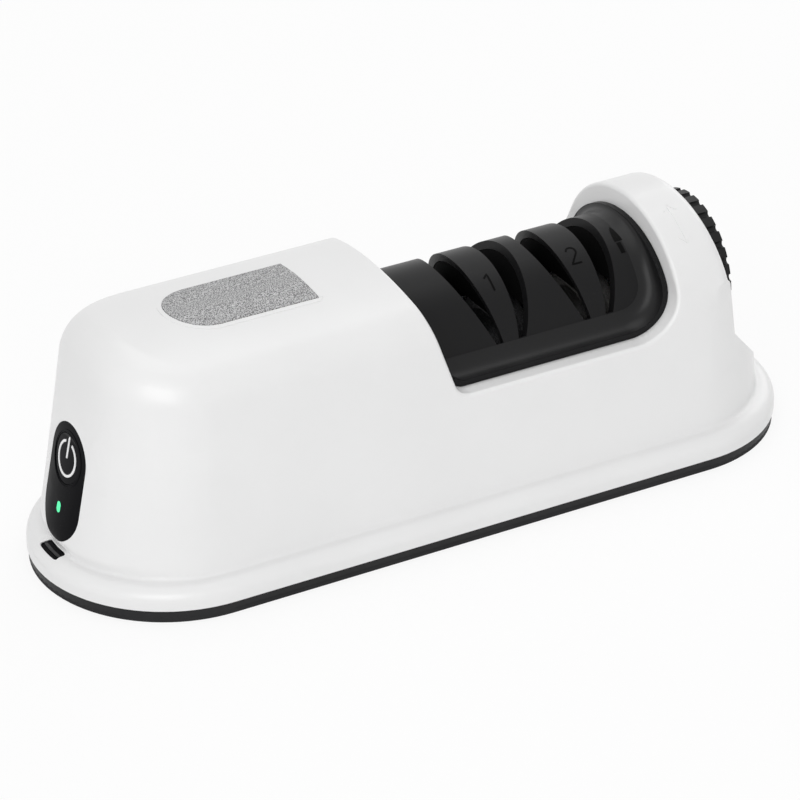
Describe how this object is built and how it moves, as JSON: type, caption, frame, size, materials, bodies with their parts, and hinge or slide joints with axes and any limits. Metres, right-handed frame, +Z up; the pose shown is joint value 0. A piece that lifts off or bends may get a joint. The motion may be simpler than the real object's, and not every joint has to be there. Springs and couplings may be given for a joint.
{
  "type": "electric knife sharpener",
  "caption": "Rechargeable electric knife sharpener: white moulded body on a black base, slotted black drum cover over conical grinding wheels, and a lock knob at the end.",
  "frame": {"origin": "centre of the footprint at the height of the table", "axes": "+X from the power button to the knob, +Y away from the user, +Z up"},
  "size_m": [0.206, 0.07, 0.0655],
  "materials": {
    "white_shell": "satin",
    "black_moulding": "satin",
    "black_gloss": "gloss",
    "black_base": "matte",
    "grey_speckle": "speckled",
    "black_rubber": "matte",
    "green_lens": "clear",
    "steel": "brushed",
    "coarse_grit": "grit",
    "fine_grit": "grit",
    "brass_bush": "plain",
    "nylon": "plain",
    "green_board": "satin",
    "blue_wrap": "gloss",
    "inner_grey": "matte"
  },
  "bodies": {
    "housing": {"housing_shell": "white_shell", "base_plate": "black_base", "rubber_feet": "black_rubber", "base_screws": "steel", "grip_pad": "grey_speckle", "drum_cover": "black_moulding", "control_panel": "black_gloss", "status_lens": "green_lens", "usb_port": "steel", "control_board": "green_board", "tact_switch": "inner_grey", "battery_cell": "blue_wrap", "battery_cradle": "inner_grey", "motor_bracket": "steel", "motor": "steel", "motor_screws": "steel", "bush_left": "brass_bush", "bush_right": "brass_bush", "wheel_tray": "inner_grey"},
    "wheel_set": {"drive_shaft": "steel", "driven_gear": "nylon", "coarse_wheel_fore": "coarse_grit", "coarse_wheel_aft": "coarse_grit", "fine_wheel_fore": "fine_grit", "fine_wheel_aft": "fine_grit", "shaft_sleeves": "steel", "shaft_clip": "steel"},
    "motor_rotor": {"motor_shaft": "steel", "motor_pinion": "brass_bush"},
    "button": {"power_button": "black_gloss"},
    "knob": {"lock_knob": "black_moulding", "knob_retainer": "steel"}
  },
  "joints": [
    {"name": "wheel_spin", "type": "hinge", "parent": "housing", "child": "wheel_set", "pos_m": [0.02, 0, 0.032], "axis": [1, 0, 0], "continuous": true},
    {"name": "motor_spin", "type": "hinge", "parent": "housing", "child": "motor_rotor", "pos_m": [-0.02, 0, 0.018], "axis": [1, 0, 0], "continuous": true},
    {"name": "button_press", "type": "slide", "parent": "housing", "child": "button", "axis": [0.9976, 0, -0.0698], "range_m": [0, 0.0005], "stiffness_N_per_m": 600},
    {"name": "knob_turn", "type": "hinge", "parent": "housing", "child": "knob", "pos_m": [0.078, 0, 0.0402], "axis": [1, 0, 0], "range_deg": [0, 45]}
  ],
  "couplings": [
    {"joint": "motor_spin", "follows": "wheel_spin", "ratio": -2.3333}
  ]
}
